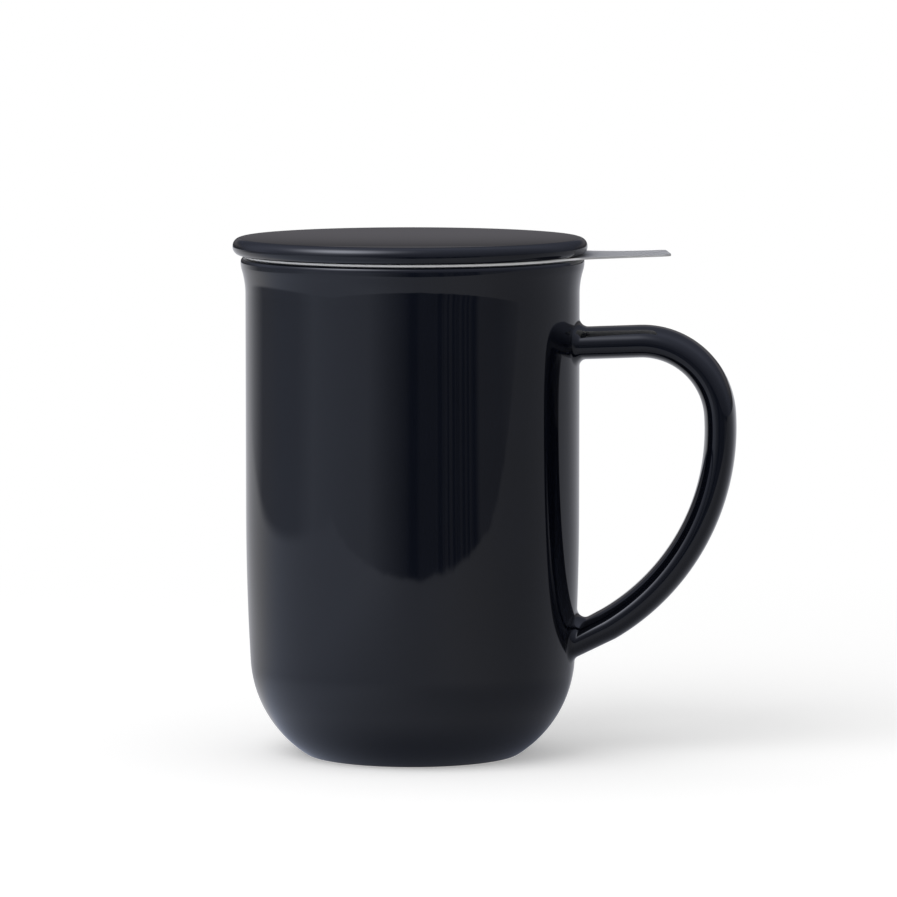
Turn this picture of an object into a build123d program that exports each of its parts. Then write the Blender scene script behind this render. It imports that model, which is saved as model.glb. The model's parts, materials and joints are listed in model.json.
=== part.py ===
from build123d import *
import os
from math import copysign, cos, pi, sin

# Tea mug with a lift-out infuser and a loose lid, in millimetres.
# The mug's axis is Z and its foot stands on Z = 0. The handle and the lift tab point along +X.

# Mug body, glazed porcelain
MUG_HEIGHT = 126.2
BODY_RADIUS = 42.2
WALL = 4.0
LEAN_START_HEIGHT = 62.0
HEEL_HEIGHT = 23.8
HEEL_DRAW_IN = 1.05
HEEL_INSIDE_RADIUS = 17.0
LIP_FLARE = 1.2
LIP_WIDTH = 4.1
LIP_FLARE_HEIGHT = 9.4
LIP_CURL_SHARE = 0.25
LIP_EDGE = 1.3
LIP_OUTER_ROUND = 1.2
LIP_INNER_ROUND = 1.5
FOOT_RADIUS = 27.0
FOOT_EDGE_ROUND = 0.8
FOOT_RING_WIDTH = 4.5
FOOT_RECESS = 2.0
FOOT_RECESS_ROUND = 0.7
FLOOR = 4.5

# Handle, cast by itself and stuck to the body before firing
HANDLE_THICKNESS = 7.98
HANDLE_WIDTH = 19.8
HANDLE_SECTION_POWER = 2.6
HANDLE_SECTION_POINTS = 24
HANDLE_TOP_DROP = 21.9
HANDLE_TOP_RUN = 15.3
HANDLE_TOP_ANGLE = 2.2
HANDLE_KNUCKLE_RADIUS = 19.6
HANDLE_KNUCKLE_ANGLE = 88.4
HANDLE_LOWER_HEIGHT = 27.4
HANDLE_ROOT_DEPTH = 6.0
HANDLE_ROOT_FILLET = 2.2

# Infuser rim, one stainless pressing: flange, collar and lift tab
RIM_SHEET = 0.5
RIM_BEND_RADIUS = 1.0
FLANGE_INSET = 0.8
COLLAR_DEPTH = 14.0
COLLAR_CLEARANCE = 0.7
TAB_LENGTH = 22.2
TAB_WIDTH = 19.0
TAB_ROOT_RADIUS = 28.0
TAB_CORNER_RADIUS = 2.2
TAB_FLAT_LENGTH = 4.0
TAB_RISE = 0.42
TAB_ANGLE = 7.4

# Infuser basket, stainless: slotted wall welded into the collar, perforated base pan under it
BASKET_SHEET = 0.4
BASKET_DEPTH = 80.0
BASKET_OVERLAP = 6.0
WELD_GAP = 0.05
SLOT_ROWS = 5
SLOTS_PER_ROW = 60
SLOT_WIDTH = 1.0
SLOT_BRIDGE = 3.0
SLOT_MARGIN = 3.0
PAN_SKIRT_HEIGHT = 6.0
PAN_BEND_RADIUS = 0.8
PAN_HOLE_RADIUS = 0.8
PAN_HOLE_SPACING = 4.0
PAN_HOLE_MARGIN = 2.0

# Lid, glazed porcelain, with a ring underneath that drops into the collar
LID_OVERHANG = 1.4
LID_EDGE = 4.4
LID_DISH = 0.9
LID_TOP_ROUND_SHARE = 0.48
LID_UNDER_ROUND_SHARE = 0.46
LID_RING_DEPTH = 7.0
LID_RING_WALL = 3.6
LID_RING_CLEARANCE = 1.2
LID_RING_ROUND = 1.1
LID_RING_ROOT_ROUND = 0.8
LID_SHIFT_SHARE = 0.53

# How far a cutting solid runs past what it cuts
OVERRUN = 1.0

# Heights and radii that follow from the sizes above
BODY_INSIDE_RADIUS = BODY_RADIUS - WALL
HEEL_RADIUS = BODY_RADIUS - HEEL_DRAW_IN
FLOOR_RADIUS = BODY_INSIDE_RADIUS - HEEL_DRAW_IN
FLOOR_HEIGHT = FOOT_RECESS + FLOOR
FLARE_START_HEIGHT = MUG_HEIGHT - LIP_FLARE_HEIGHT
LIP_RADIUS = BODY_RADIUS + LIP_FLARE
LIP_EDGE_HEIGHT = MUG_HEIGHT - LIP_EDGE
CURL_START_RADIUS = LIP_RADIUS - LIP_FLARE * LIP_CURL_SHARE
CURL_START_HEIGHT = LIP_EDGE_HEIGHT - (LIP_EDGE_HEIGHT - FLARE_START_HEIGHT) * LIP_CURL_SHARE
LIP_INSIDE_RADIUS = LIP_RADIUS - LIP_WIDTH
HANDLE_TOP_HEIGHT = MUG_HEIGHT - HANDLE_TOP_DROP
FLANGE_RADIUS = LIP_RADIUS - FLANGE_INSET
TAB_REACH = FLANGE_RADIUS + TAB_LENGTH
COLLAR_RADIUS = BODY_INSIDE_RADIUS - COLLAR_CLEARANCE
COLLAR_INSIDE_RADIUS = COLLAR_RADIUS - RIM_SHEET
COLLAR_BOTTOM_HEIGHT = MUG_HEIGHT - COLLAR_DEPTH
BASKET_RADIUS = COLLAR_INSIDE_RADIUS - WELD_GAP
BASKET_BOTTOM_HEIGHT = MUG_HEIGHT - BASKET_DEPTH
LID_RADIUS = LIP_RADIUS + LID_OVERHANG
LID_SEAT_HEIGHT = MUG_HEIGHT + RIM_SHEET
LID_RING_RADIUS = COLLAR_INSIDE_RADIUS - LID_RING_CLEARANCE

# Directions in an outline, which is drawn as (radius, height)
UP = (0, 1)
DOWN = (0, -1)
OUT = (1, 0)


def rounded(outline, corners):
    """Round corners of a flat outline, given as (point, radius) pairs."""
    for point, radius in corners:
        corner = outline.vertices().sort_by_distance(point)[0]
        outline = fillet(corner, radius)
    return outline


def turned(outline):
    """Turn an outline about the mug's axis."""
    return revolve(Plane.XZ * outline, axis=Axis.Z)


def outside_edges():
    """The mug's outside from the foot to the lip: heel, leaning wall, straight wall, flare, curl, edge."""
    lean = TangentArc((BODY_RADIUS, LEAN_START_HEIGHT), (HEEL_RADIUS, HEEL_HEIGHT), tangent=DOWN)
    heel = TangentArc(lean @ 1, (FOOT_RADIUS, 0), tangent=lean % 1)
    wall = Line((BODY_RADIUS, LEAN_START_HEIGHT), (BODY_RADIUS, FLARE_START_HEIGHT))
    flare = TangentArc(wall @ 1, (CURL_START_RADIUS, CURL_START_HEIGHT), tangent=UP)
    curl = TangentArc(flare @ 1, (LIP_RADIUS, LIP_EDGE_HEIGHT), tangent=flare % 1)
    edge = Line(curl @ 1, (LIP_RADIUS, MUG_HEIGHT))
    return [heel, lean, wall, flare, curl, edge]


def inside_edges():
    """The mug's inside from the lip to the floor."""
    wall = Line((BODY_INSIDE_RADIUS, LEAN_START_HEIGHT), (BODY_INSIDE_RADIUS, FLARE_START_HEIGHT))
    flare = TangentArc(wall @ 1, (LIP_INSIDE_RADIUS, MUG_HEIGHT), tangent=UP)
    lean = TangentArc(wall @ 0, (FLOOR_RADIUS, FLOOR_HEIGHT), tangent=DOWN)
    return [flare, wall, lean]


def make_mug_body():
    recess_radius = FOOT_RADIUS - FOOT_RING_WIDTH
    lip = Line((LIP_RADIUS, MUG_HEIGHT), (LIP_INSIDE_RADIUS, MUG_HEIGHT))
    floor = Polyline(
        (FLOOR_RADIUS, FLOOR_HEIGHT),
        (0, FLOOR_HEIGHT),
        (0, FOOT_RECESS),
        (recess_radius, FOOT_RECESS),
        (recess_radius, 0),
        (FOOT_RADIUS, 0),
    )
    outline = make_face([*outside_edges(), lip, *inside_edges(), *floor.edges()])
    outline = rounded(
        outline,
        [
            (lip @ 0, LIP_OUTER_ROUND),
            (lip @ 1, LIP_INNER_ROUND),
            ((FLOOR_RADIUS, FLOOR_HEIGHT), HEEL_INSIDE_RADIUS),
            ((recess_radius, FOOT_RECESS), FOOT_RECESS_ROUND),
            ((recess_radius, 0), FOOT_EDGE_ROUND),
            ((FOOT_RADIUS, 0), FOOT_EDGE_ROUND),
        ],
    )
    return turned(outline)


def make_root_body():
    """The straight wall and the leaning wall run on down, filled solid. It shapes the handle's roots."""
    lean_drop = LEAN_START_HEIGHT - HEEL_HEIGHT
    lean_radius = (lean_drop**2 + HEEL_DRAW_IN**2) / (2 * HEEL_DRAW_IN)
    lean_run = lean_radius - (lean_radius**2 - LEAN_START_HEIGHT**2) ** 0.5
    wall = Line((BODY_RADIUS, MUG_HEIGHT), (BODY_RADIUS, LEAN_START_HEIGHT))
    lean = TangentArc(wall @ 1, (BODY_RADIUS - lean_run, 0), tangent=DOWN)
    core = Polyline(wall @ 0, (0, MUG_HEIGHT), (0, 0), lean @ 1)
    # The seam of the turned wall lies opposite the handle
    return Rot(0, 0, 180) * turned(make_face([wall, lean, *core.edges()]))


def make_handle_section():
    """An oval with flat sides, fuller than an ellipse of the same width and thickness."""
    share = 2 / HANDLE_SECTION_POWER
    points = []
    for step in range(HANDLE_SECTION_POINTS):
        turn = 2 * pi * step / HANDLE_SECTION_POINTS
        across = copysign(abs(sin(turn)) ** share, sin(turn))
        through = copysign(abs(cos(turn)) ** share, cos(turn))
        points.append((across * HANDLE_WIDTH / 2, through * HANDLE_THICKNESS / 2))
    return make_face(Spline(*points, periodic=True))


def make_mug_handle():
    """A flat oval bar along a straight top, a knuckle and one long sweep, flared where it meets the wall."""
    root_radius = BODY_RADIUS - HANDLE_ROOT_DEPTH
    top = PolarLine((root_radius, HANDLE_TOP_HEIGHT), HANDLE_ROOT_DEPTH + HANDLE_TOP_RUN, HANDLE_TOP_ANGLE)
    knuckle = JernArc(top @ 1, top % 1, HANDLE_KNUCKLE_RADIUS, -HANDLE_KNUCKLE_ANGLE)
    long_sweep = TangentArc(knuckle @ 1, (root_radius, HANDLE_LOWER_HEIGHT), tangent=knuckle % 1)
    path = Plane.XZ * Wire([top, knuckle, long_sweep])
    start = Plane(origin=path @ 0, x_dir=(0, 1, 0), z_dir=path % 0)
    bar = sweep(start * make_handle_section(), path=path)
    root_body = make_root_body()
    joined = root_body + bar
    joined = fillet(new_edges(root_body, bar, combined=joined), HANDLE_ROOT_FILLET)
    return joined - root_body


def make_flange_plate(inside_radius):
    """The flat flange with its lift tab, which rises gently towards its tip."""
    tab = Rectangle(TAB_REACH, TAB_WIDTH, align=(Align.MIN, Align.CENTER))
    tab = fillet(tab.vertices().group_by(Axis.X)[-1], TAB_CORNER_RADIUS)
    plan = Circle(FLANGE_RADIUS) + tab
    plan = fillet(plan.vertices().sort_by_distance((FLANGE_RADIUS, 0))[:2], TAB_ROOT_RADIUS)
    plan -= Circle(inside_radius)
    blank = Pos(0, 0, MUG_HEIGHT) * extrude(plan, RIM_SHEET + TAB_RISE)
    rise_start = FLANGE_RADIUS + TAB_FLAT_LENGTH
    under = Line((-FLANGE_RADIUS - OVERRUN, MUG_HEIGHT), (rise_start, MUG_HEIGHT))
    under_rise = TangentArc(under @ 1, (TAB_REACH, MUG_HEIGHT + TAB_RISE), tangent=OUT)
    over = Line((-FLANGE_RADIUS - OVERRUN, LID_SEAT_HEIGHT), (rise_start, LID_SEAT_HEIGHT))
    over_rise = TangentArc(over @ 1, (TAB_REACH, LID_SEAT_HEIGHT + TAB_RISE), tangent=OUT)
    ends = [Line(under @ 0, over @ 0), Line(under_rise @ 1, over_rise @ 1)]
    side = make_face([under, under_rise, over, over_rise, *ends])
    return blank & extrude(Plane.XZ * side, FLANGE_RADIUS + OVERRUN, both=True)


def make_infuser_rim():
    inside_radius = COLLAR_RADIUS + 2 * RIM_BEND_RADIUS
    collar = make_face(
        Polyline(
            (inside_radius, LID_SEAT_HEIGHT),
            (COLLAR_INSIDE_RADIUS, LID_SEAT_HEIGHT),
            (COLLAR_INSIDE_RADIUS, COLLAR_BOTTOM_HEIGHT),
            (COLLAR_RADIUS, COLLAR_BOTTOM_HEIGHT),
            (COLLAR_RADIUS, MUG_HEIGHT),
            (inside_radius, MUG_HEIGHT),
            close=True,
        )
    )
    collar = rounded(
        collar,
        [
            ((COLLAR_INSIDE_RADIUS, LID_SEAT_HEIGHT), RIM_BEND_RADIUS + RIM_SHEET),
            ((COLLAR_RADIUS, MUG_HEIGHT), RIM_BEND_RADIUS),
        ],
    )
    return Rot(0, 0, TAB_ANGLE) * (make_flange_plate(inside_radius) + turned(collar))


def make_infuser_wall():
    """A thin sleeve with rows of upright slots, each row half a pitch round from the last."""
    top = COLLAR_BOTTOM_HEIGHT + BASKET_OVERLAP
    bottom = BASKET_BOTTOM_HEIGHT + BASKET_SHEET + PAN_BEND_RADIUS
    ring = Circle(BASKET_RADIUS) - Circle(BASKET_RADIUS - BASKET_SHEET)
    sleeve = Pos(0, 0, bottom) * extrude(ring, top - bottom)
    slots_bottom = BASKET_BOTTOM_HEIGHT + PAN_SKIRT_HEIGHT + SLOT_MARGIN
    slots_top = COLLAR_BOTTOM_HEIGHT - SLOT_MARGIN
    row_height = (slots_top - slots_bottom + SLOT_BRIDGE) / SLOT_ROWS
    slot_length = row_height - SLOT_BRIDGE
    slot = Box(2 * OVERRUN, SLOT_WIDTH, slot_length, align=(Align.CENTER, Align.CENTER, Align.MIN))
    turn = 360 / SLOTS_PER_ROW
    slots = []
    for row in range(SLOT_ROWS):
        start_turn = turn / 2 * (row % 2)
        for column in range(SLOTS_PER_ROW):
            place = Pos(BASKET_RADIUS, 0, slots_bottom + row_height * row)
            slots.append(Rot(0, 0, start_turn + turn * column) * place * slot)
    return sleeve - slots


def make_infuser_base():
    """A shallow pan: a disc with rings of holes, and a skirt that stands round the wall's lower end."""
    skirt_inside = BASKET_RADIUS + WELD_GAP
    skirt_outside = skirt_inside + BASKET_SHEET
    disc_radius = skirt_inside - 2 * PAN_BEND_RADIUS
    top = BASKET_BOTTOM_HEIGHT + BASKET_SHEET
    skirt_top = BASKET_BOTTOM_HEIGHT + PAN_SKIRT_HEIGHT
    skirt = make_face(
        Polyline(
            (disc_radius, BASKET_BOTTOM_HEIGHT),
            (skirt_outside, BASKET_BOTTOM_HEIGHT),
            (skirt_outside, skirt_top),
            (skirt_inside, skirt_top),
            (skirt_inside, top),
            (disc_radius, top),
            close=True,
        )
    )
    skirt = rounded(
        skirt,
        [
            ((skirt_outside, BASKET_BOTTOM_HEIGHT), PAN_BEND_RADIUS + BASKET_SHEET),
            ((skirt_inside, top), PAN_BEND_RADIUS),
        ],
    )
    ring_count = int((disc_radius - PAN_HOLE_MARGIN - PAN_HOLE_RADIUS) / PAN_HOLE_SPACING)
    holes = [Wire.make_circle(PAN_HOLE_RADIUS)]
    for ring in range(1, ring_count + 1):
        for place in PolarLocations(PAN_HOLE_SPACING * ring, 6 * ring):
            holes.append(place * Wire.make_circle(PAN_HOLE_RADIUS))
    disc = extrude(Face(Wire.make_circle(disc_radius), holes), BASKET_SHEET)
    return Pos(0, 0, BASKET_BOTTOM_HEIGHT) * disc + turned(skirt)


def make_lid():
    """A disc with a shallow dish in its top and a ring under it."""
    ring_inside = LID_RING_RADIUS - LID_RING_WALL
    ring_bottom = LID_SEAT_HEIGHT - LID_RING_DEPTH
    top = LID_SEAT_HEIGHT + LID_EDGE
    dish = TangentArc((0, top - LID_DISH), (LID_RADIUS, top), tangent=OUT)
    under = Polyline(
        dish @ 0,
        (0, LID_SEAT_HEIGHT),
        (ring_inside, LID_SEAT_HEIGHT),
        (ring_inside, ring_bottom),
        (LID_RING_RADIUS, ring_bottom),
        (LID_RING_RADIUS, LID_SEAT_HEIGHT),
        (LID_RADIUS, LID_SEAT_HEIGHT),
        dish @ 1,
    )
    outline = rounded(
        make_face([dish, *under.edges()]),
        [
            ((ring_inside, LID_SEAT_HEIGHT), LID_RING_ROUND),
            ((ring_inside, ring_bottom), LID_RING_ROUND),
            ((LID_RING_RADIUS, ring_bottom), LID_RING_ROUND),
            ((LID_RING_RADIUS, LID_SEAT_HEIGHT), LID_RING_ROOT_ROUND),
            ((LID_RADIUS, LID_SEAT_HEIGHT), LID_EDGE * LID_UNDER_ROUND_SHARE),
            ((LID_RADIUS, top), LID_EDGE * LID_TOP_ROUND_SHARE),
        ],
    )
    return Pos(-LID_RING_CLEARANCE * LID_SHIFT_SHARE, 0, 0) * turned(outline)


os.makedirs("parts", exist_ok=True)
pieces = {
    "mug_body": make_mug_body(),
    "mug_handle": make_mug_handle(),
    "infuser_rim": make_infuser_rim(),
    "infuser_wall": make_infuser_wall(),
    "infuser_base": make_infuser_base(),
    "lid": make_lid(),
}
for name, piece in pieces.items():
    export_step(piece, os.path.join("parts", name + ".step"))
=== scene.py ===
import json
from math import atan2, copysign, cos, hypot, pi, radians, sin, sqrt, tan

import bmesh
import bpy
from mathutils import Matrix, Vector

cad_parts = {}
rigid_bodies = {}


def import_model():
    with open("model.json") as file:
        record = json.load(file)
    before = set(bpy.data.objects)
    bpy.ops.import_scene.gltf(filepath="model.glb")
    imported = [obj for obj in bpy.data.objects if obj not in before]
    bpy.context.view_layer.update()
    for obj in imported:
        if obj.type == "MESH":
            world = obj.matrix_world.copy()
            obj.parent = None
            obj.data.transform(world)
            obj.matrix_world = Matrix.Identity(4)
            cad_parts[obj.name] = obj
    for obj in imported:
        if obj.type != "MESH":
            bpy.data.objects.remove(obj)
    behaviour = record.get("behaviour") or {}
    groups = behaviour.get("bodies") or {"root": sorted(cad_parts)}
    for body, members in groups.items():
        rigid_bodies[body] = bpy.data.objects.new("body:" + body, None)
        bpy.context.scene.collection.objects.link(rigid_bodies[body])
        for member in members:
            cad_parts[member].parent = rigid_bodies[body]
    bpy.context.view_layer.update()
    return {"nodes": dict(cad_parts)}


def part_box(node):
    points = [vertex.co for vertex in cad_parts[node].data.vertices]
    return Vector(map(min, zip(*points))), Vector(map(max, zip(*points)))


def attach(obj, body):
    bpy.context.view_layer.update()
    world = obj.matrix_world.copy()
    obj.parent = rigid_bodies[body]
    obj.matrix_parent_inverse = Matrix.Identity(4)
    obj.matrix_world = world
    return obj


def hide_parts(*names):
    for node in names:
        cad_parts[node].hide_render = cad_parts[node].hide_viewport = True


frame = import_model()
mm = 0.001
weldGap = 0.0001 * mm  # points nearer than this are one
ringGap = 0.001 * mm  # points nearer than this to a ring lie on it
print("frame loaded:", sorted(frame["nodes"]))


# node helpers: a feed is a socket to link or a plain value
def putNode(tree, kind, feeds=None, **settings):
    node = tree.nodes.new(kind)
    for name, value in settings.items():
        setattr(node, name, value)
    for name, value in (feeds or {}).items():
        if isinstance(value, bpy.types.NodeSocket):
            tree.links.new(value, node.inputs[name])
        else:
            node.inputs[name].default_value = value
    return node


def calc(tree, operation, *terms):
    return putNode(tree, "ShaderNodeMath", dict(enumerate(terms)), operation=operation).outputs[0]


def fade(tree, value, low, high, start=0.0, end=1.0):
    feeds = {"Value": value, "From Min": low, "From Max": high, "To Min": start, "To Max": end}
    node = putNode(tree, "ShaderNodeMapRange", feeds, interpolation_type="SMOOTHSTEP")
    return node.outputs["Result"]


def blendColor(tree, factor, first, second):
    feeds = {0: factor, 6: first, 7: second}
    return putNode(tree, "ShaderNodeMix", feeds, data_type="RGBA").outputs[2]


def blendValue(tree, factor, first, second):
    feeds = {0: factor, 2: first, 3: second}
    return putNode(tree, "ShaderNodeMix", feeds, data_type="FLOAT").outputs[0]


def blendShader(tree, factor, first, second):
    return putNode(tree, "ShaderNodeMixShader", {0: factor, 1: first, 2: second}).outputs[0]


def scaleColor(tree, color, amount):
    feeds = {0: color, "Scale": amount}
    return putNode(tree, "ShaderNodeVectorMath", feeds, operation="SCALE").outputs[0]


def addColors(tree, first, second):
    return putNode(tree, "ShaderNodeVectorMath", {0: first, 1: second}, operation="ADD").outputs[0]


def lengthOf(tree, vector):
    return putNode(tree, "ShaderNodeVectorMath", {0: vector}, operation="LENGTH").outputs["Value"]


def joinXYZ(tree, x, y, z=0.0):
    return putNode(tree, "ShaderNodeCombineXYZ", {"X": x, "Y": y, "Z": z}).outputs[0]


def objectPlace(tree):
    coords = putNode(tree, "ShaderNodeTexCoord").outputs["Object"]
    split = putNode(tree, "ShaderNodeSeparateXYZ", {"Vector": coords})
    return coords, split.outputs["X"], split.outputs["Y"], split.outputs["Z"]


def noiseOn(tree, vector, scale, detail=3.0, roughness=0.5):
    feeds = {"Vector": vector, "Scale": scale, "Detail": detail, "Roughness": roughness}
    return putNode(tree, "ShaderNodeTexNoise", feeds).outputs["Fac"]


# patches where a noise rises through the mask's limits, with the value that they give
def noiseMask(tree, coords, mask):
    noise = noiseOn(tree, coords, mask["scale"], mask["detail"], mask["roughness"])
    return fade(tree, noise, *mask["limits"], 0.0, mask["gives"])


def bumpOf(tree, height, distance):
    feeds = {"Height": height, "Strength": 1.0, "Distance": distance}
    return putNode(tree, "ShaderNodeBump", feeds).outputs["Normal"]


colorKind, valueKind = "NodeSocketColor", "NodeSocketFloat"
coatOutputs = {"Color": colorKind, "Roughness": valueKind, "Height": valueKind}


def newGroup(name, inputs, outputs):
    group = bpy.data.node_groups.new(name, "ShaderNodeTree")
    for label, kind in inputs.items():
        group.interface.new_socket(label, in_out="INPUT", socket_type=kind)
    for label, kind in outputs.items():
        group.interface.new_socket(label, in_out="OUTPUT", socket_type=kind)
    given = group.nodes.new("NodeGroupInput").outputs
    return group, given, group.nodes.new("NodeGroupOutput").inputs


def newMaterial(name):
    material = bpy.data.materials.new(name)
    material.use_nodes = True
    tree = material.node_tree
    tree.nodes.clear()
    return material, tree, putNode(tree, "ShaderNodeOutputMaterial").inputs["Surface"]


# fired glaze: pooled colour, a faint ripple, hazy patches and a few pinholes
glaze = {
    "deep": (0.0014, 0.0018, 0.0036, 1),
    "thin": (0.0044, 0.0053, 0.0098, 1),
    "gloss": 0.035,
    "ior": 1.5,
    "edgeThinning": 0.55,
    "pools": {
        "scale": 38.0, "detail": 4.0, "roughness": 0.5, "limits": (0.35, 0.75), "gives": 0.22,
    },
    "flecks": {
        "scale": 900.0, "detail": 2.0, "roughness": 0.5, "limits": (0.70, 0.78), "gives": 0.125,
    },
    "haze": {
        "scale": 24.0, "detail": 5.0, "roughness": 0.6, "limits": (0.45, 0.80), "gives": 0.035,
    },
    "pits": {
        "scale": 620.0, "detail": 1.0, "roughness": 0.5, "limits": (0.80, 0.86), "gives": -0.02,
    },
    "ripple": {"scale": 70.0, "share": 0.12},
    "swell": {"scale": 16.0, "share": 0.5},
    "waveDetail": 1.0,
    "waveHeight": 0.04 * mm,
}
# the foot is wiped bare below a height
bisque = {
    "color": (0.62, 0.58, 0.52, 1),
    "shade": (0.45, 0.41, 0.36, 1),
    "rough": 0.75,
    "grainScale": 1500.0,
    "grainLimits": (0.3, 0.7),
    "leastColor": 0.86,
    "wipe": (0.08 * mm, 0.11 * mm),
    "wobble": 0.06 * mm,
    "wobbleScale": 300.0,
}


def makeGlazeGroup():
    inputs = {"Deep": colorKind, "Thin": colorKind, "Thinning": valueKind, "Gloss": valueKind}
    group, given, made = newGroup("firedGlaze", inputs, coatOutputs)
    coords = objectPlace(group)[0]
    thin = calc(group, "ADD", given["Thinning"], noiseMask(group, coords, glaze["pools"]))
    thin = calc(group, "ADD", thin, noiseMask(group, coords, glaze["flecks"]))
    thin = putNode(group, "ShaderNodeClamp", {"Value": thin}).outputs[0]
    group.links.new(blendColor(group, thin, given["Deep"], given["Thin"]), made["Color"])
    haze = noiseMask(group, coords, glaze["haze"])
    group.links.new(calc(group, "ADD", given["Gloss"], haze), made["Roughness"])
    height = noiseMask(group, coords, glaze["pits"])
    for wave in (glaze["ripple"], glaze["swell"]):
        noise = noiseOn(group, coords, wave["scale"], glaze["waveDetail"])
        height = calc(group, "ADD", height, calc(group, "MULTIPLY", noise, wave["share"]))
    group.links.new(height, made["Height"])
    return group


glazeGroup = makeGlazeGroup()


# the glaze runs thin over an upper edge, between two heights
def makeGlaze(name, thinHeights=None, bareFoot=False):
    material, tree, surface = newMaterial(name)
    coords, _, _, z = objectPlace(tree)
    feeds = {"Deep": glaze["deep"], "Thin": glaze["thin"], "Gloss": glaze["gloss"]}
    if thinHeights:
        feeds["Thinning"] = fade(tree, z, *thinHeights, 0.0, glaze["edgeThinning"])
    coat = putNode(tree, "ShaderNodeGroup", feeds, node_tree=glazeGroup)
    color, rough = coat.outputs["Color"], coat.outputs["Roughness"]
    if bareFoot:
        wobble = noiseOn(tree, coords, bisque["wobbleScale"])
        height = calc(tree, "ADD", z, calc(tree, "MULTIPLY", wobble, bisque["wobble"]))
        bare = fade(tree, height, *bisque["wipe"], 1.0, 0.0)
        grain = noiseOn(tree, coords, bisque["grainScale"])
        grain = fade(tree, grain, *bisque["grainLimits"], bisque["leastColor"])
        clay = blendColor(tree, grain, bisque["shade"], bisque["color"])
        color = blendColor(tree, bare, color, clay)
        rough = calc(tree, "MAXIMUM", rough, calc(tree, "MULTIPLY", bare, bisque["rough"]))
    feeds = {"Base Color": color, "Roughness": rough, "IOR": glaze["ior"]}
    feeds["Normal"] = bumpOf(tree, coat.outputs["Height"], glaze["waveHeight"])
    shader = putNode(tree, "ShaderNodeBsdfPrincipled", feeds)
    tree.links.new(shader.outputs["BSDF"], surface)
    return material


# steel sheet: rubbed patches and fine lines that run round the axis or along the tab
steel = {
    "acrossLines": 5200.0,
    "roundLines": 2.0,
    "alongLines": 60.0,
    "lineDetail": 3.0,
    "lineRoughness": 0.6,
    "lineDepth": 0.012 * mm,
    "lineShade": 0.7,
    "lineRough": 0.14,
    "rubbed": {"scale": 55.0, "detail": 4.0, "roughness": 0.5, "limits": (0.4, 0.75), "gives": 1.0},
    "rubbedShade": 0.3,
    "rubbedRough": 0.05,
}


def makeSteelGroup():
    inputs = {"Bright": colorKind, "Dull": colorKind, "Polish": valueKind, "Lengthwise": valueKind}
    group, given, made = newGroup("drawnSteel", inputs, coatOutputs)
    coords, x, y, z = objectPlace(group)

    def times(value, share):
        return calc(group, "MULTIPLY", value, share)

    def linesOn(vector):
        return noiseOn(group, vector, 1.0, steel["lineDetail"], steel["lineRoughness"])

    turn = times(calc(group, "ARCTAN2", y, x), steel["roundLines"])
    radius = times(lengthOf(group, joinXYZ(group, x, y)), steel["acrossLines"])
    length = times(x, steel["alongLines"])
    across = times(y, steel["acrossLines"])
    up = times(z, steel["acrossLines"])
    ringLines = linesOn(joinXYZ(group, turn, radius, up))
    tabLines = linesOn(joinXYZ(group, length, across, up))
    lines = blendValue(group, given["Lengthwise"], ringLines, tabLines)
    rubbed = noiseMask(group, coords, steel["rubbed"])
    shade = times(lines, steel["lineShade"])
    shade = calc(group, "ADD", shade, times(rubbed, steel["rubbedShade"]))
    group.links.new(blendColor(group, shade, given["Dull"], given["Bright"]), made["Color"])
    rough = calc(group, "ADD", given["Polish"], times(lines, steel["lineRough"]))
    rough = calc(group, "ADD", rough, times(rubbed, steel["rubbedRough"]))
    group.links.new(rough, made["Roughness"])
    group.links.new(lines, made["Height"])
    return group


steelGroup = makeSteelGroup()


def startSteel(name, finish):
    material, tree, surface = newMaterial(name)
    feeds = {label: finish[label.lower()] for label in ("Bright", "Dull", "Polish")}
    return material, tree, surface, putNode(tree, "ShaderNodeGroup", feeds, node_tree=steelGroup)


def endSteel(tree, surface, sheet, color, rough, metal):
    feeds = {"Base Color": color, "Roughness": rough, "Metallic": metal}
    feeds["Normal"] = bumpOf(tree, sheet.outputs["Height"], steel["lineDepth"])
    shader = putNode(tree, "ShaderNodeBsdfPrincipled", feeds)
    tree.links.new(shader.outputs["BSDF"], surface)
    return shader


# outlines: a pen on the plane of radius and height, which draws lines and tangent arcs
def startPen(r, z):
    mesh = bmesh.new()
    return {"mesh": mesh, "tip": mesh.verts.new((r, 0, z)), "heading": 0.0}


def lineTo(pen, r, z, steps):
    start = pen["tip"].co.copy()
    end = Vector((r, 0, z))
    for step in range(1, steps + 1):
        pen["tip"] = bmesh.ops.extrude_vert_indiv(pen["mesh"], verts=[pen["tip"]])["verts"][0]
        pen["tip"].co = start.lerp(end, step / steps)
    pen["heading"] = atan2(z - start.z, r - start.x)


def arcTo(pen, r, z, steps):
    start = pen["tip"].co.copy()
    chord = atan2(z - start.z, r - start.x)
    half = atan2(sin(chord - pen["heading"]), cos(chord - pen["heading"]))
    radius = hypot(r - start.x, z - start.z) / (2 * sin(half))
    centre = start + radius * Vector((-sin(pen["heading"]), 0, cos(pen["heading"])))
    made = bmesh.ops.spin(
        pen["mesh"], geom=[pen["tip"]], cent=centre, axis=(0, -1, 0), angle=2 * half, steps=steps
    )
    pen["tip"] = [item for item in made["geom_last"] if isinstance(item, bmesh.types.BMVert)][0]
    pen["heading"] += 2 * half


def spinOutline(pen, steps):
    mesh = pen["mesh"]
    bmesh.ops.spin(
        mesh, geom=mesh.verts[:] + mesh.edges[:], cent=(0, 0, 0), axis=(0, 0, 1),
        angle=2 * pi, steps=steps, use_merge=True,
    )
    bmesh.ops.remove_doubles(mesh, verts=mesh.verts[:], dist=weldGap)
    bmesh.ops.recalc_face_normals(mesh, faces=mesh.faces[:])
    return mesh


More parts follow.
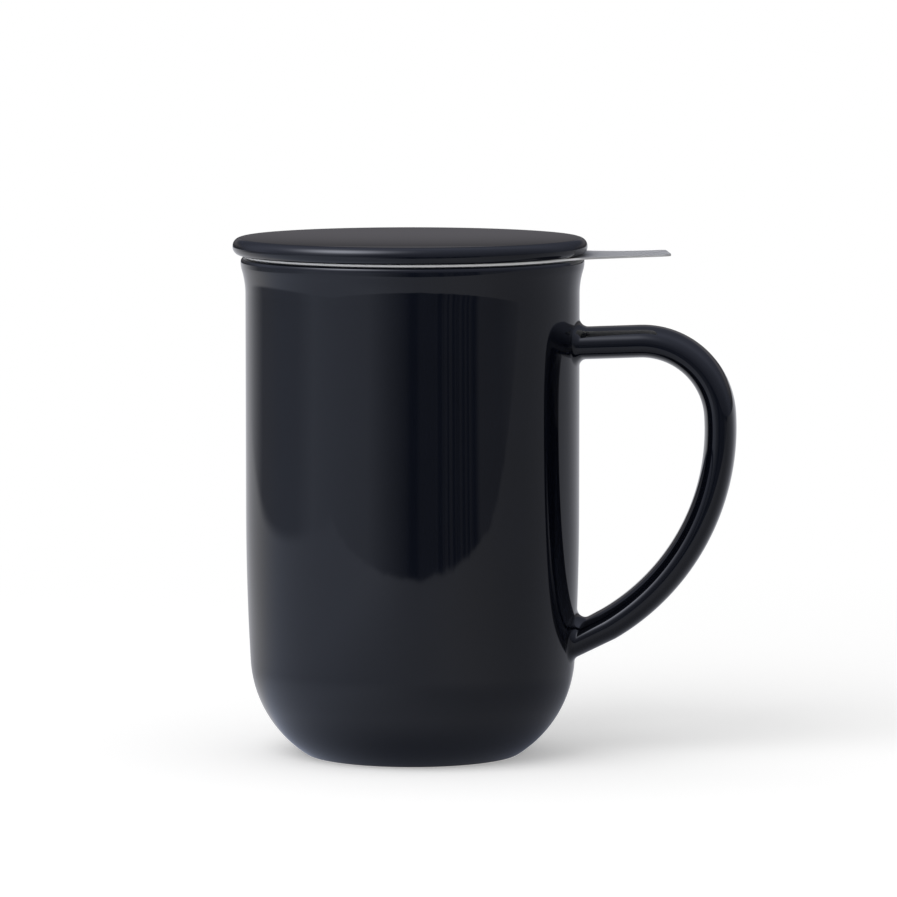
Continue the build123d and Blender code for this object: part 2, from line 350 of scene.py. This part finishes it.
def roundRing(mesh, r, z, radius, segments):
    def onRing(vert):
        return abs(hypot(vert.co.x, vert.co.y) - r) < ringGap and abs(vert.co.z - z) < ringGap

    ring = [edge for edge in mesh.edges if all(onRing(vert) for vert in edge.verts)]
    setBack = radius * tan(ring[0].calc_face_angle() / 2)
    bmesh.ops.bevel(
        mesh, geom=ring, offset=setBack, offset_type="OFFSET", segments=segments,
        profile=0.5, affect="EDGES", material=-1, clamp_overlap=False,
    )


# a turned piece: stretches of (pen, radius, height, steps), edges of (radius, height, round, steps)
def turnPiece(start, stretches, edges, steps):
    pen = startPen(*start)
    for draw, *stretch in stretches:
        draw(pen, *stretch)
    mesh = spinOutline(pen, steps)
    for edge in edges:
        roundRing(mesh, *edge)
    return mesh


def finishPiece(name, mesh, material, body, node):
    data = bpy.data.meshes.new(name)
    for face in mesh.faces:
        face.smooth = True
    mesh.to_mesh(data)
    mesh.free()
    piece = bpy.data.objects.new(name, data)
    bpy.context.scene.collection.objects.link(piece)
    data.materials.append(material)
    even = piece.modifiers.new("evenNormals", "WEIGHTED_NORMAL")
    even.keep_sharp = True
    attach(piece, body)
    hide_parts(node)
    return piece


# mug body: one outline from the middle of the floor, over the lip, to the middle of the foot
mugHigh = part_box("mug_body")[1]
mug = {
    "height": mugHigh.z,
    "radius": 42.2 * mm,
    "wall": 4.0 * mm,
    "leanStart": 62.0 * mm,
    "heelHeight": 23.8 * mm,
    "drawIn": 1.05 * mm,
    "insideHeel": 17.0 * mm,
    "flare": 1.2 * mm,
    "flareHeight": 9.4 * mm,
    "curlShare": 0.25,
    "lipEdge": 1.3 * mm,
    "lipWidth": 4.1 * mm,
    "lipOuterRound": 1.2 * mm,
    "lipInnerRound": 1.5 * mm,
    "lipThin": (2.2 * mm, 0.4 * mm),  # below the top, where the glaze starts to thin and is thin
    "foot": 27.0 * mm,
    "footRing": 4.5 * mm,
    "footRound": 0.8 * mm,
    "recess": 2.0 * mm,
    "recessRound": 0.7 * mm,
    "floor": 6.5 * mm,
    "steps": 192,
}


def makeMugBody():
    inside = mug["radius"] - mug["wall"]
    flareStart = mug["height"] - mug["flareHeight"]
    lip = mug["radius"] + mug["flare"]
    lipInside = lip - mug["lipWidth"]
    edgeBottom = mug["height"] - mug["lipEdge"]
    curlRadius = lip - mug["flare"] * mug["curlShare"]
    curlStart = edgeBottom - (edgeBottom - flareStart) * mug["curlShare"]
    recessRadius = mug["foot"] - mug["footRing"]
    # the floor's rounded corner touches the leaning wall inside
    drop = mug["leanStart"] - mug["floor"]
    lean = (drop**2 + mug["drawIn"] ** 2) / (2 * mug["drawIn"])
    leanCentre = Vector((inside - lean, mug["leanStart"]))
    rise = mug["floor"] + mug["insideHeel"]
    reach = leanCentre.x + sqrt((lean - mug["insideHeel"]) ** 2 - (mug["leanStart"] - rise) ** 2)
    touch = leanCentre + (Vector((reach, rise)) - leanCentre).normalized() * lean
    stretches = [
        (lineTo, reach, mug["floor"], 6),
        (arcTo, touch.x, touch.y, 20),
        (arcTo, inside, mug["leanStart"], 6),
        (lineTo, inside, flareStart, 6),
        (arcTo, lipInside, mug["height"], 8),
        (lineTo, lip, mug["height"], 1),
        (lineTo, lip, edgeBottom, 1),
        (arcTo, curlRadius, curlStart, 8),
        (arcTo, mug["radius"], flareStart, 12),
        (lineTo, mug["radius"], mug["leanStart"], 8),
        (arcTo, mug["radius"] - mug["drawIn"], mug["heelHeight"], 14),
        (arcTo, mug["foot"], 0, 28),
        (lineTo, recessRadius, 0, 1),
        (lineTo, recessRadius, mug["recess"], 1),
        (lineTo, 0, mug["recess"], 4),
    ]
    edges = [
        (lip, mug["height"], mug["lipOuterRound"], 6),
        (lipInside, mug["height"], mug["lipInnerRound"], 6),
        (mug["foot"], 0, mug["footRound"], 5),
        (recessRadius, 0, mug["footRound"], 4),
        (recessRadius, mug["recess"], mug["recessRound"], 4),
    ]
    return turnPiece((0, mug["floor"]), stretches, edges, mug["steps"])


mugGlaze = makeGlaze("mugGlaze", [mug["height"] - below for below in mug["lipThin"]], True)
mugBody = finishPiece("mugBody", makeMugBody(), mugGlaze, "mug", "mug_body")
print("mug body:", len(mugBody.data.polygons), "faces")


# the outside of the mug at a height: radius and slope
def mugOutside(z):
    drop = mug["leanStart"] - mug["heelHeight"]
    lean = (drop**2 + mug["drawIn"] ** 2) / (2 * mug["drawIn"])
    if z >= mug["leanStart"]:
        return mug["radius"], 0.0
    if z >= mug["heelHeight"]:
        fall = mug["leanStart"] - z
        level = sqrt(lean**2 - fall**2)
        return mug["radius"] - lean + level, fall / level
    angle = 2 * atan2(mug["drawIn"], drop)
    corner = Vector((mug["radius"] - mug["drawIn"], mug["heelHeight"]))
    inward = Vector((-cos(angle), sin(angle)))
    span = Vector((mug["foot"], 0)) - corner
    heel = span.length_squared / (2 * span.dot(inward))
    centre = corner + inward * heel
    level = sqrt(heel**2 - (z - centre.y) ** 2)
    return centre.x + level, (centre.y - z) / level


# handle: a flat oval ring, run along the top, round the knuckle and down the long sweep,
# and flared at both roots
handle = {
    "thickness": 7.98 * mm,
    "width": 19.8 * mm,
    "power": 2.6,  # 2 is an ellipse, more is fuller
    "topHeight": mugHigh.z - 21.9 * mm,
    "topRun": 15.3 * mm,
    "topAngle": radians(2.2),
    "knuckle": 19.6 * mm,
    "knuckleAngle": radians(88.4),
    "lowerHeight": 27.4 * mm,
    "rootDepth": 6.0 * mm,
    "rootFillet": 2.2 * mm,
    "rootStart": 9.0 * mm,
    "sink": 0.012 * mm,
    "ringSides": 64,
    "topRings": 3,
    "knuckleRings": 28,
    "sweepRings": 40,
    "flareRings": 9,
    "searchReach": 27.0 * mm,
    "searchRounds": 40,
    "nudge": 0.01 * mm,
}


def surfaceNormal(point):
    slope = mugOutside(point.z)[1]
    around = Vector((point.x, point.y, 0)).normalized()
    return (around - Vector((0, 0, slope))).normalized()


def ringEdges(ring):
    pairs = zip(ring, ring[1:] + ring[:1])
    return [edge for a, b in pairs for edge in a.link_edges if b in edge.verts]


# extrudes a ring and gives its copy in the same order
def nextRing(mesh, ring):
    made = bmesh.ops.extrude_edge_only(mesh, edges=ringEdges(ring))["geom"]
    fresh = {item for item in made if isinstance(item, bmesh.types.BMVert)}

    def copyOf(vert):
        others = (edge.other_vert(vert) for edge in vert.link_edges)
        return next(other for other in others if other in fresh)

    return [copyOf(vert) for vert in ring]


def spinRing(mesh, ring, centre, angle, steps):
    turn = Matrix.Rotation(angle / steps, 3, "Y")
    for _ in range(steps):
        ring = nextRing(mesh, ring)
        bmesh.ops.rotate(mesh, verts=ring, cent=centre, matrix=turn)
    return ring


# carries an end ring of the bar to the wall: slide(point, s) moves a point s along the bar to it
def flareRoot(mesh, ring, slide):
    count = len(ring)
    spots = [vert.co.copy() for vert in ring]
    middle = sum(spots, Vector()) / count
    curves = []
    for index, spot in enumerate(spots):
        near, far = 0.0, handle["searchReach"]
        for _ in range(handle["searchRounds"]):
            guess = (near + far) / 2
            there = slide(spot, guess)
            if hypot(there.x, there.y) > mugOutside(there.z)[0]:
                near = guess
            else:
                far = guess
        corner = slide(spot, near)
        ahead = (slide(spot, near + handle["nudge"]) - corner).normalized()
        side = slide(spots[(index + 1) % count], near) - slide(spots[index - 1], near)
        outward = side.cross(ahead).normalized()
        if outward.dot(spot - middle) < 0:
            outward = -outward
        wallNormal = surfaceNormal(corner)
        seam = wallNormal.cross(outward)
        away = seam.cross(wallNormal).normalized()
        if away.dot(outward) < 0:
            away = -away
        opening = away.angle(-ahead)
        reach = handle["rootFillet"] / tan(opening / 2)
        leave = slide(spot, near - reach)
        heading = (slide(spot, near - reach + handle["nudge"]) - leave).normalized()
        land = corner + away * reach
        radius = mugOutside(land.z)[0] - handle["sink"]
        scale = radius / hypot(land.x, land.y)
        land = Vector((land.x * scale, land.y * scale, land.z))
        landNormal = surfaceNormal(land)
        pull = leave + heading * ((land - leave).dot(landNormal) / heading.dot(landNormal))
        weight = cos((pull - leave).angle(land - pull) / 2)
        curves.append((leave, pull, land, weight))
    for step in range(handle["flareRings"] + 1):
        t = step / handle["flareRings"]
        ring = nextRing(mesh, ring)
        for vert, (leave, pull, land, weight) in zip(ring, curves):
            a, b, c = (1 - t) ** 2, 2 * weight * t * (1 - t), t**2
            vert.co = (leave * a + pull * b + land * c) / (a + b + c)
    edges = ringEdges(ring)
    for edge in edges:
        edge.smooth = False
    bmesh.ops.contextual_create(mesh, geom=edges)


def makeMugHandle():
    mesh = bmesh.new()
    root = Vector((mug["radius"] - handle["rootDepth"], 0, handle["topHeight"]))
    out = Vector((cos(handle["topAngle"]), 0, sin(handle["topAngle"])))
    start = root + out * (handle["rootDepth"] + handle["rootStart"])
    topEnd = root + out * (handle["rootDepth"] + handle["topRun"])
    place = Matrix.Translation(start) @ Matrix.Rotation(pi / 2 - handle["topAngle"], 4, "Y")
    first = bmesh.ops.create_circle(mesh, segments=handle["ringSides"], radius=1.0)["verts"]
    share = 2 / handle["power"]
    for vert in first:
        through = copysign(abs(vert.co.x) ** share, vert.co.x) * handle["thickness"] / 2
        across = copysign(abs(vert.co.y) ** share, vert.co.y) * handle["width"] / 2
        vert.co = place @ Vector((through, across, 0))
    ring = first
    for _ in range(handle["topRings"]):
        ring = nextRing(mesh, ring)
        bmesh.ops.translate(mesh, verts=ring, vec=(topEnd - start) / handle["topRings"])
    knuckleCentre = topEnd + handle["knuckle"] * Vector((out.z, 0, -out.x))
    ring = spinRing(mesh, ring, knuckleCentre, handle["knuckleAngle"], handle["knuckleRings"])
    # the long sweep leaves along the knuckle's end and aims at the lower root
    turn = handle["knuckleAngle"] - handle["topAngle"]
    bend = knuckleCentre + handle["knuckle"] * Vector((sin(turn), 0, cos(turn)))
    aim = Vector((mug["radius"] - handle["rootDepth"], 0, handle["lowerHeight"])) - bend
    inward = Vector((-sin(turn), 0, -cos(turn)))
    sweep = aim.length_squared / (2 * aim.dot(inward))
    sweepCentre = bend + inward * sweep
    along = Vector((cos(turn), 0, -sin(turn)))
    sweepAngle = 2 * atan2(aim.dot(inward), aim.dot(along))
    spare = (handle["rootDepth"] + handle["rootStart"]) / sweep
    ring = spinRing(mesh, ring, sweepCentre, sweepAngle - spare, handle["sweepRings"])

    def slideIn(point, s):
        return point - out * s

    def slideDown(point, s):
        return sweepCentre + Matrix.Rotation(s / sweep, 3, "Y") @ (point - sweepCentre)

    flareRoot(mesh, first, slideIn)
    flareRoot(mesh, ring, slideDown)
    bmesh.ops.recalc_face_normals(mesh, faces=mesh.faces[:])
    return mesh


handleGlaze = makeGlaze("handleGlaze")
mugHandle = finishPiece("mugHandle", makeMugHandle(), handleGlaze, "mug", "mug_handle")
print("handle:", len(mugHandle.data.polygons), "faces")


# lid: a dished disc with a ring under it, resting a little off the mug's axis
lidLow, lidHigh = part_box("lid")
lid = {
    "shift": (lidLow.x + lidHigh.x) / 2,
    "radius": (lidHigh.x - lidLow.x) / 2,
    "seat": mugHigh.z + 0.5 * mm,
    "edge": 4.386 * mm,
    "edgeThin": 1.2 * mm,  # the glaze thins this far below the top
    "dish": 0.9 * mm,
    "topRound": 2.112 * mm,
    "underRound": 2.024 * mm,
    "ring": 35.8 * mm,
    "ringWall": 3.6 * mm,
    "ringBottom": lidLow.z,
    "ringRound": 1.1 * mm,
    "rootRound": 0.8 * mm,
    "steps": 192,
}
lidTop = lid["seat"] + lid["edge"]


def makeLid():
    ringInside = lid["ring"] - lid["ringWall"]
    stretches = [
        (arcTo, lid["radius"], lidTop, 24),
        (lineTo, lid["radius"], lid["seat"], 1),
        (lineTo, lid["ring"], lid["seat"], 3),
        (lineTo, lid["ring"], lid["ringBottom"], 1),
        (lineTo, ringInside, lid["ringBottom"], 1),
        (lineTo, ringInside, lid["seat"], 1),
        (lineTo, 0, lid["seat"], 5),
    ]
    edges = [
        (lid["radius"], lidTop, lid["topRound"], 8),
        (lid["radius"], lid["seat"], lid["underRound"], 8),
        (lid["ring"], lid["seat"], lid["rootRound"], 4),
        (lid["ring"], lid["ringBottom"], lid["ringRound"], 5),
        (ringInside, lid["ringBottom"], lid["ringRound"], 5),
        (ringInside, lid["seat"], lid["ringRound"], 5),
    ]
    mesh = turnPiece((0, lidTop - lid["dish"]), stretches, edges, lid["steps"])
    bmesh.ops.translate(mesh, verts=mesh.verts[:], vec=(lid["shift"], 0, 0))
    return mesh


lidGlaze = makeGlaze("lidGlaze", (lidTop - lid["edgeThin"], lidTop))
lidDisc = finishPiece("lidDisc", makeLid(), lidGlaze, "lid", "lid")
print("lid:", len(lidDisc.data.polygons), "faces")


# infuser: the CAD sheets stay and get their steel
def dressSheet(node, material):
    sheet = frame["nodes"][node]
    sheet.data.materials.clear()
    sheet.data.materials.append(material)


# rim: the flange and the tab are matt and duller than the collar
rimFinish = {
    "bright": (0.80, 0.77, 0.69, 1),
    "dull": (0.70, 0.675, 0.605, 1),
    "polish": 0.24,
    "flange": (38.6 * mm, 40.0 * mm),
    "flangePolish": 0.62,
    "flangeShade": 0.75,
    "tab": (42.0 * mm, 46.0 * mm),
    "edge": (40.5 * mm, 41.5 * mm),
    "edgeColor": (0.82, 0.82, 0.81, 1),
    "edgeRough": 0.55,
    "edgeScatter": 0.62,
    "steep": (0.3, 0.7),  # how far a face looks up or down
    "tabEdge": (43.5 * mm, 45.5 * mm),
    "tabEdgeShare": 0.3,  # the tab's own edge is smoother
}


def makeRimSteel():
    finish = rimFinish
    material, tree, surface, sheet = startSteel("rimSteel", finish)
    _, x, y, _ = objectPlace(tree)
    away = lengthOf(tree, joinXYZ(tree, x, y))
    polish = fade(tree, away, *finish["flange"], finish["polish"], finish["flangePolish"])
    tree.links.new(polish, sheet.inputs["Polish"])
    tree.links.new(fade(tree, x, *finish["tab"]), sheet.inputs["Lengthwise"])
    shade = fade(tree, away, *finish["flange"], 1.0, finish["flangeShade"])
    color = scaleColor(tree, sheet.outputs["Color"], shade)
    # the sheared edge and the underside of the flange and the tab scatter the light
    normal = putNode(tree, "ShaderNodeNewGeometry").outputs["Normal"]
    facing = putNode(tree, "ShaderNodeSeparateXYZ", {"Vector": normal}).outputs["Z"]
    upright = fade(tree, calc(tree, "ABSOLUTE", facing), *finish["steep"], 1.0, 0.0)
    smoother = fade(tree, away, *finish["tabEdge"], 1.0, finish["tabEdgeShare"])
    upright = calc(tree, "MULTIPLY", upright, smoother)
    low, high = finish["steep"]
    under = fade(tree, facing, -high, -low, 1.0, 0.0)
    sheared = calc(tree, "MAXIMUM", upright, under)
    sheared = calc(tree, "MULTIPLY", sheared, fade(tree, away, *finish["edge"]))
    color = blendColor(tree, sheared, color, finish["edgeColor"])
    edgeRough = calc(tree, "MULTIPLY", sheared, finish["edgeRough"])
    rough = calc(tree, "MAXIMUM", sheet.outputs["Roughness"], edgeRough)
    metal = calc(tree, "SUBTRACT", 1.0, calc(tree, "MULTIPLY", sheared, finish["edgeScatter"]))
    endSteel(tree, surface, sheet, color, rough, metal)
    return material


# basket: a row of spot welds where the sleeve sits in the collar
basketFinish = {
    "bright": (0.79, 0.77, 0.71, 1),
    "dull": (0.66, 0.64, 0.59, 1),
    "polish": 0.26,
    "stretch": 0.75,
    "stretchTurn": 0.25,
    "weldCount": 12,
    "weldRadius": 37.0 * mm,
    "weldHeight": 115.2 * mm,
    "weldFade": (0.78 * mm, 2.08 * mm),
    "weldTint": (0.30, 0.27, 0.23, 1),
    "weldShare": 0.6,
}


def makeBasketSteel():
    finish = basketFinish
    material, tree, surface, sheet = startSteel("basketSteel", finish)
    _, x, y, z = objectPlace(tree)
    pitch = 2 * pi * finish["weldRadius"] / finish["weldCount"]
    turn = calc(tree, "MULTIPLY", calc(tree, "ARCTAN2", y, x), finish["weldCount"] / (2 * pi))
    across = calc(tree, "SUBTRACT", calc(tree, "FRACT", turn), 0.5)
    across = calc(tree, "MULTIPLY", across, pitch)
    up = calc(tree, "SUBTRACT", z, finish["weldHeight"])
    off = lengthOf(tree, joinXYZ(tree, across, up))
    halo = fade(tree, off, *finish["weldFade"], finish["weldShare"], 0.0)
    color = blendColor(tree, halo, sheet.outputs["Color"], finish["weldTint"])
    shader = endSteel(tree, surface, sheet, color, sheet.outputs["Roughness"], 1.0)
    # the lines run round the axis, so highlights stretch across them
    shader.inputs["Anisotropic"].default_value = finish["stretch"]
    shader.inputs["Anisotropic Rotation"].default_value = finish["stretchTurn"]
    tangent = putNode(tree, "ShaderNodeTangent", direction_type="RADIAL", axis="Z").outputs[0]
    tree.links.new(tangent, shader.inputs["Tangent"])
    return material


dressSheet("infuser_rim", makeRimSteel())
basketSteel = makeBasketSteel()
dressSheet("infuser_wall", basketSteel)
dressSheet("infuser_base", basketSteel)
print("infuser dressed")


# camera: turned a little to the handle's side, and the studio is laid out with it
view = {
    "spot": (0.00908, -1.5, 0.2219),
    "pitch": radians(5.5),
    "turn": radians(4.8),
    "lens": 238.9,
    "sensor": 36.0,
    "clip": (0.05, 60.0),
}


def fromView(spot):
    return Matrix.Rotation(view["turn"], 3, "Z") @ Vector(spot)


# floor: white to the camera, with the object's shadow. In reflections it is a white table
# in a dim studio, with limits in metres or as turns from the camera's side, left of it negative
studio = {
    "size": 12.0,
    "cells": 8,
    "sink": 0.02 * mm,
    "albedo": (0.90, 0.90, 0.90, 1),
    "lift": 0.284,  # keeps the open floor white
    "clear": (0.16, 0.42),
    "tableFront": (-0.343, -0.320),
    "tableLeft": (-0.56, -0.47),
    "waveScale": 14.0,
    "wave": 0.05,
    "tableBright": 0.66,
    "tableDim": 0.255,
    "tableNear": 0.40,
    "tableBack": 0.50,
    "brightSide": (-0.19, 0.03),
    "dimTurn": (radians(20), radians(85)),
    "backTurn": (radians(95), radians(170)),
    # shade and light on the table near the foot
    "contact": {"reach": (0.030, 0.050), "side": (-0.03, 0.0), "left": 0.55, "right": 0.36},
    "spill": {"reach": (0.065, 0.13), "side": (-0.06, 0.04), "left": 1.35, "right": 0.72},
    # brightness round the room, in degrees
    "room": [
        (-180, 0.85), (-146, 0.62), (-124, 0.18), (-84, 0.42), (-70, 0.62), (-30, 0.50),
        (-16, 0.25), (-4, 0.08), (-1, 0.012), (3, 0.012), (5, 0.062), (14, 0.062), (17, 0.012),
        (43, 0.012), (46, 0.17), (62, 0.15), (80, 0.24), (120, 0.27), (180, 0.6),
    ],
    "folds": 0.085,
    "foldScale": 17.0,
    "foldDetail": 2.0,
    "foldLimits": (0.42, 0.60),
    "foldsIn": (radians(14), radians(18)),
    "foldsOut": (radians(40), radians(44)),
    "far": (1.5, 3.0),
    "farGlow": 0.03,
    "cool": (0.90, 0.97, 1.16, 1),
    "plain": (1.0, 0.99, 1.0, 1),
    "coolTurn": (radians(-60), radians(60)),
    "coolStart": (radians(-130), radians(-95)),
    "dusk": (0.042, 0.054, 0.090),
}


def roomRamp(tree, turn):
    share = calc(tree, "MULTIPLY_ADD", turn, 1 / (2 * pi), 0.5)
    ramp = putNode(tree, "ShaderNodeValToRGB", {"Fac": share})
    stops = ramp.color_ramp.elements
    while len(stops) < len(studio["room"]):
        stops.new(0.5)
    for stop, (angle, value) in zip(stops, studio["room"]):
        stop.position = angle / 360 + 0.5
        stop.color = (value, value, value, 1)
    return ramp.outputs["Color"]


# the table and the room as the glaze and the steel see them
def studioGlow(tree, coords, x, y, away):
    turn = calc(tree, "ARCTAN2", x, calc(tree, "MULTIPLY", y, -1.0))
    feeds = {"W": calc(tree, "MULTIPLY", turn, studio["foldScale"])}
    feeds.update({"Scale": 1.0, "Detail": studio["foldDetail"]})
    folds = putNode(tree, "ShaderNodeTexNoise", feeds, noise_dimensions="1D").outputs["Fac"]
    folds = fade(tree, folds, *studio["foldLimits"], 0.0, studio["folds"])
    folds = calc(tree, "MULTIPLY", folds, fade(tree, turn, *studio["foldsIn"]))
    folds = calc(tree, "MULTIPLY", folds, fade(tree, turn, *studio["foldsOut"], 1.0, 0.0))
    room = calc(tree, "ADD", roomRamp(tree, turn), folds)
    room = blendValue(tree, fade(tree, away, *studio["far"]), room, studio["farGlow"])

    wave = calc(tree, "MULTIPLY", noiseOn(tree, coords, studio["waveScale"]), studio["wave"])
    front = fade(tree, calc(tree, "ADD", y, wave), *studio["tableFront"])
    onTable = calc(tree, "MULTIPLY", front, fade(tree, x, *studio["tableLeft"]))
    dim = fade(tree, turn, *studio["dimTurn"], studio["tableNear"], studio["tableDim"])
    table = fade(tree, x, *studio["brightSide"], studio["tableBright"], dim)
    sideways = calc(tree, "ABSOLUTE", turn)
    behind = fade(tree, sideways, *studio["backTurn"], 0.0, studio["tableBack"])
    table = calc(tree, "MAXIMUM", table, behind)
    for patch in (studio["contact"], studio["spill"]):
        share = fade(tree, x, *patch["side"], patch["left"], patch["right"])
        table = calc(tree, "MULTIPLY", table, fade(tree, away, *patch["reach"], share))

    tint = blendColor(tree, fade(tree, turn, *studio["coolTurn"]), studio["cool"], studio["plain"])
    tint = blendColor(tree, fade(tree, turn, *studio["coolStart"]), studio["plain"], tint)
    glow = scaleColor(tree, tint, blendValue(tree, onTable, room, table))
    return addColors(tree, glow, studio["dusk"])


def makeFloor():
    mesh = bmesh.new()
    cells = studio["cells"]
    bmesh.ops.create_grid(mesh, x_segments=cells, y_segments=cells, size=studio["size"] / 2)
    bmesh.ops.translate(mesh, verts=mesh.verts[:], vec=(0, 0, -studio["sink"]))
    data = bpy.data.meshes.new("floor")
    mesh.to_mesh(data)
    mesh.free()
    floor = bpy.data.objects.new("floor", data)
    bpy.context.scene.collection.objects.link(floor)
    floor.rotation_euler = (0, 0, view["turn"])
    material, tree, surface = newMaterial("paleFloor")
    data.materials.append(material)
    coords, x, y, _ = objectPlace(tree)
    away = lengthOf(tree, coords)
    rays = putNode(tree, "ShaderNodeLightPath").outputs
    lit = putNode(tree, "ShaderNodeBsdfDiffuse", {"Color": studio["albedo"]}).outputs[0]
    lift = putNode(tree, "ShaderNodeEmission", {"Strength": studio["lift"]}).outputs[0]
    near = putNode(tree, "ShaderNodeAddShader", {0: lit, 1: lift}).outputs[0]
    white = putNode(tree, "ShaderNodeEmission", {"Strength": 1.0}).outputs[0]
    seen = calc(tree, "MAXIMUM", rays["Is Camera Ray"], rays["Is Transmission Ray"])
    seen = calc(tree, "MULTIPLY", fade(tree, away, *studio["clear"]), seen)
    ground = blendShader(tree, seen, near, white)
    glow = studioGlow(tree, coords, x, y, away)
    mirrored = putNode(tree, "ShaderNodeEmission", {"Color": glow}).outputs[0]
    tree.links.new(blendShader(tree, rays["Is Glossy Ray"], ground, mirrored), surface)


makeFloor()


# world: white to the camera, an even fill for shading, and in reflections a cool room
# with a soft glow. Limits are cosines from the way that they are measured along
sky = {
    "fill": 0.614,
    "tint": (0.86, 0.93, 1.21),
    "level": 0.22,
    "rise": 0.42,
    "left": 0.24,  # added on the left
    "leftFade": (0.3, 0.95),
    "back": 0.28,  # share left behind the object
    "backFade": (0.3, 1.0),
    "glowTurn": radians(-57),
    "glowRise": radians(48),
    "glow": 5.8,
    "glowFocus": 13.0,
    "glowTint": (0.94, 0.97, 1.09),
    "wall": (0.162, 0.157, 0.170),
    "wallFade": (0.6, 0.95),
    "wallTop": (0.12, 0.24),
    "wallFoot": (-0.03, 0.13),
    "wallFootShare": 0.28,
}


def skyWay(turn, rise):
    return fromView((cos(rise) * sin(turn), -cos(rise) * cos(turn), sin(rise)))


def makeWorld():
    world = bpy.data.worlds.new("studioRoom")
    bpy.context.scene.world = world
    world.use_nodes = True
    tree = world.node_tree
    tree.nodes.clear()
    rays = putNode(tree, "ShaderNodeLightPath").outputs
    coords = putNode(tree, "ShaderNodeTexCoord").outputs["Generated"]

    def along(way):
        feeds = {0: coords, 1: way}
        node = putNode(tree, "ShaderNodeVectorMath", feeds, operation="DOT_PRODUCT")
        return node.outputs["Value"]

    def background(color, strength):
        feeds = {"Color": color, "Strength": strength}
        return putNode(tree, "ShaderNodeBackground", feeds).outputs[0]

    up = along((0, 0, 1))
    left = along(fromView((-1, 0, 0)))
    behind = along(fromView((0, 1, 0)))
    level = calc(tree, "MULTIPLY_ADD", calc(tree, "MAXIMUM", up, 0.0), sky["rise"], sky["level"])
    level = calc(tree, "ADD", level, fade(tree, left, *sky["leftFade"], 0.0, sky["left"]))
    level = calc(tree, "MULTIPLY", level, fade(tree, behind, *sky["backFade"], 1.0, sky["back"]))
    glow = calc(tree, "MAXIMUM", along(skyWay(sky["glowTurn"], sky["glowRise"])), 0.0)
    glow = calc(tree, "MULTIPLY", calc(tree, "POWER", glow, sky["glowFocus"]), sky["glow"])
    room = scaleColor(tree, sky["tint"], level)
    color = addColors(tree, room, scaleColor(tree, sky["glowTint"], glow))
    wall = fade(tree, behind, *sky["wallFade"])
    wall = calc(tree, "MULTIPLY", wall, fade(tree, up, *sky["wallTop"], 1.0, 0.0))
    plaster = scaleColor(tree, sky["wall"], fade(tree, up, *sky["wallFoot"], sky["wallFootShare"]))
    mirrored = background(blendColor(tree, wall, color, plaster), 1.0)
    plain = (1, 1, 1, 1)
    dim = blendShader(tree, rays["Is Glossy Ray"], background(plain, sky["fill"]), mirrored)
    seen = calc(tree, "MAXIMUM", rays["Is Camera Ray"], rays["Is Transmission Ray"])
    both = blendShader(tree, seen, dim, background(plain, 1.0))
    tree.links.new(both, putNode(tree, "ShaderNodeOutputWorld").inputs["Surface"])


makeWorld()


# lamp: one large softbox at the front left
softbox = {"turn": radians(-40), "rise": radians(45), "away": 1.4, "size": 1.3, "watts": 8.5}


def makeSoftbox():
    data = bpy.data.lights.new("softbox", "AREA")
    data.shape = "DISK"
    data.size = softbox["size"]
    data.energy = softbox["watts"]
    light = bpy.data.objects.new("softbox", data)
    bpy.context.scene.collection.objects.link(light)
    light.visible_glossy = False  # the sky's glow stands for it in reflections
    toward = skyWay(softbox["turn"], softbox["rise"])
    light.location = toward * softbox["away"]
    light.rotation_euler = toward.to_track_quat("Z", "Y").to_euler()


makeSoftbox()
print("floor, world and lamp set")


camera = bpy.data.objects.new("camera", bpy.data.cameras.new("camera"))
bpy.context.scene.collection.objects.link(camera)
camera.location = fromView(view["spot"])
camera.rotation_euler = (pi / 2 - view["pitch"], 0, view["turn"])
camera.data.sensor_width = view["sensor"]
camera.data.lens = view["lens"]
camera.data.clip_start, camera.data.clip_end = view["clip"]
bpy.context.scene.camera = camera
bpy.context.scene.view_settings.view_transform = "Standard"

print("pieces done")
